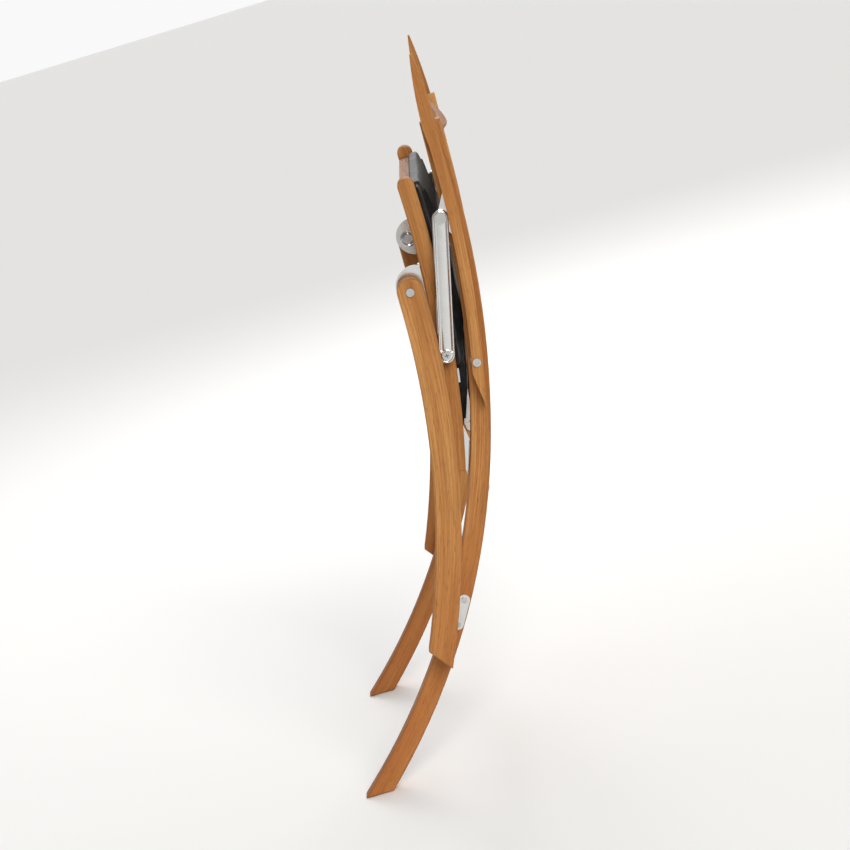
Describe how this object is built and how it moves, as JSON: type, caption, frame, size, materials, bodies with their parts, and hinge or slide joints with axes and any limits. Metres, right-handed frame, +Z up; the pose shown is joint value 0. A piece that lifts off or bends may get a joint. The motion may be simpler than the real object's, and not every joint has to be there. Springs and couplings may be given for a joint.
{
  "type": "folding chair",
  "caption": "Folding armchair with curved hardwood uprights, pivoting seat, crossed rear legs, slim armrests on polished steel struts, black padded seat, shown folded flat.",
  "frame": {"origin": "on the floor, under the middle of the folded chair's box", "axes": "+Z up, -X towards the front that the sitter faces, +X to the back, Y across the chair with the sitter's left at -Y"},
  "size_m": [0.3819, 0.5662, 0.9836],
  "materials": {
    "wood": "oiled, straight fine grain, satin",
    "panel": "stained plywood, matt",
    "polished_steel": "polished stainless steel",
    "fasteners": "turned stainless steel, satin",
    "bush": "black nylon",
    "pad": "black leather, fine grain, low sheen"
  },
  "bodies": {
    "frame": {"arm_bolts": "fasteners", "arm_washers": "fasteners", "back_rail": "wood", "back_slat_high": "wood", "back_slat_low": "wood", "back_slat_middle": "wood", "crest_rail": "wood", "hinge_plate_left": "polished_steel", "hinge_plate_right": "polished_steel", "leg_stretcher": "wood", "stretcher_plate_left": "polished_steel", "stretcher_plate_right": "polished_steel", "stretcher_screws": "fasteners", "upright_left": "wood", "upright_right": "wood"},
    "seat": {"flange_screws": "fasteners", "leg_bolts": "fasteners", "leg_bracket_left": "polished_steel", "leg_bracket_right": "polished_steel", "leg_washers": "fasteners", "rail_cap_left": "polished_steel", "rail_cap_right": "polished_steel", "seat_front_rail": "wood", "seat_pad": "pad", "seat_panel": "panel", "seat_rail_left": "wood", "seat_rail_right": "wood", "seat_rear_rail": "wood", "seat_tongue_left": "polished_steel", "seat_tongue_right": "polished_steel", "strut_screws": "fasteners", "strut_spacers": "fasteners", "tongue_screws": "fasteners"},
    "rear_legs": {"rear_leg_bushes": "bush", "rear_leg_left": "wood", "rear_leg_rail": "wood", "rear_leg_right": "wood", "stop_rail": "wood"},
    "arm_left": {"arm_lug_left": "polished_steel", "armrest_left": "wood", "strut_pin_left": "fasteners"},
    "arm_right": {"arm_lug_right": "polished_steel", "armrest_right": "wood", "strut_pin_right": "fasteners"},
    "strut_left": {"strut_left": "polished_steel"},
    "strut_right": {"strut_right": "polished_steel"}
  },
  "joints": [
    {"name": "seat_fold", "type": "hinge", "parent": "frame", "child": "seat", "pos_m": [0.0938, 0, 0.3824], "axis": [0, -1, 0], "range_deg": [0, 86]},
    {"name": "rear_leg_fold", "type": "hinge", "parent": "seat", "child": "rear_legs", "pos_m": [0.0806, 0, 0.6848], "axis": [0, -1, 0], "range_deg": [-33.1, 0.01]},
    {"name": "arm_left_fold", "type": "hinge", "parent": "frame", "child": "arm_left", "pos_m": [0.1384, -0.247, 0.5635], "axis": [0, -1, 0], "range_deg": [-0.01, 86.1]},
    {"name": "strut_left_swing", "type": "hinge", "parent": "seat", "child": "strut_left", "pos_m": [0.102, -0.2485, 0.5834], "axis": [0, -1, 0], "range_deg": [-86.1, 0.01]},
    {"name": "arm_right_fold", "type": "hinge", "parent": "frame", "child": "arm_right", "pos_m": [0.1384, 0.247, 0.5635], "axis": [0, -1, 0], "range_deg": [-0.01, 86.1]},
    {"name": "strut_right_swing", "type": "hinge", "parent": "seat", "child": "strut_right", "pos_m": [0.102, 0.2485, 0.5834], "axis": [0, -1, 0], "range_deg": [-86.1, 0.01]}
  ],
  "couplings": [
    {"joint": "rear_leg_fold", "follows": "seat_fold", "ratio": -0.38415},
    {"joint": "arm_left_fold", "follows": "seat_fold", "ratio": 1},
    {"joint": "strut_left_swing", "follows": "seat_fold", "ratio": -1},
    {"joint": "arm_right_fold", "follows": "seat_fold", "ratio": 1},
    {"joint": "strut_right_swing", "follows": "seat_fold", "ratio": -1}
  ]
}
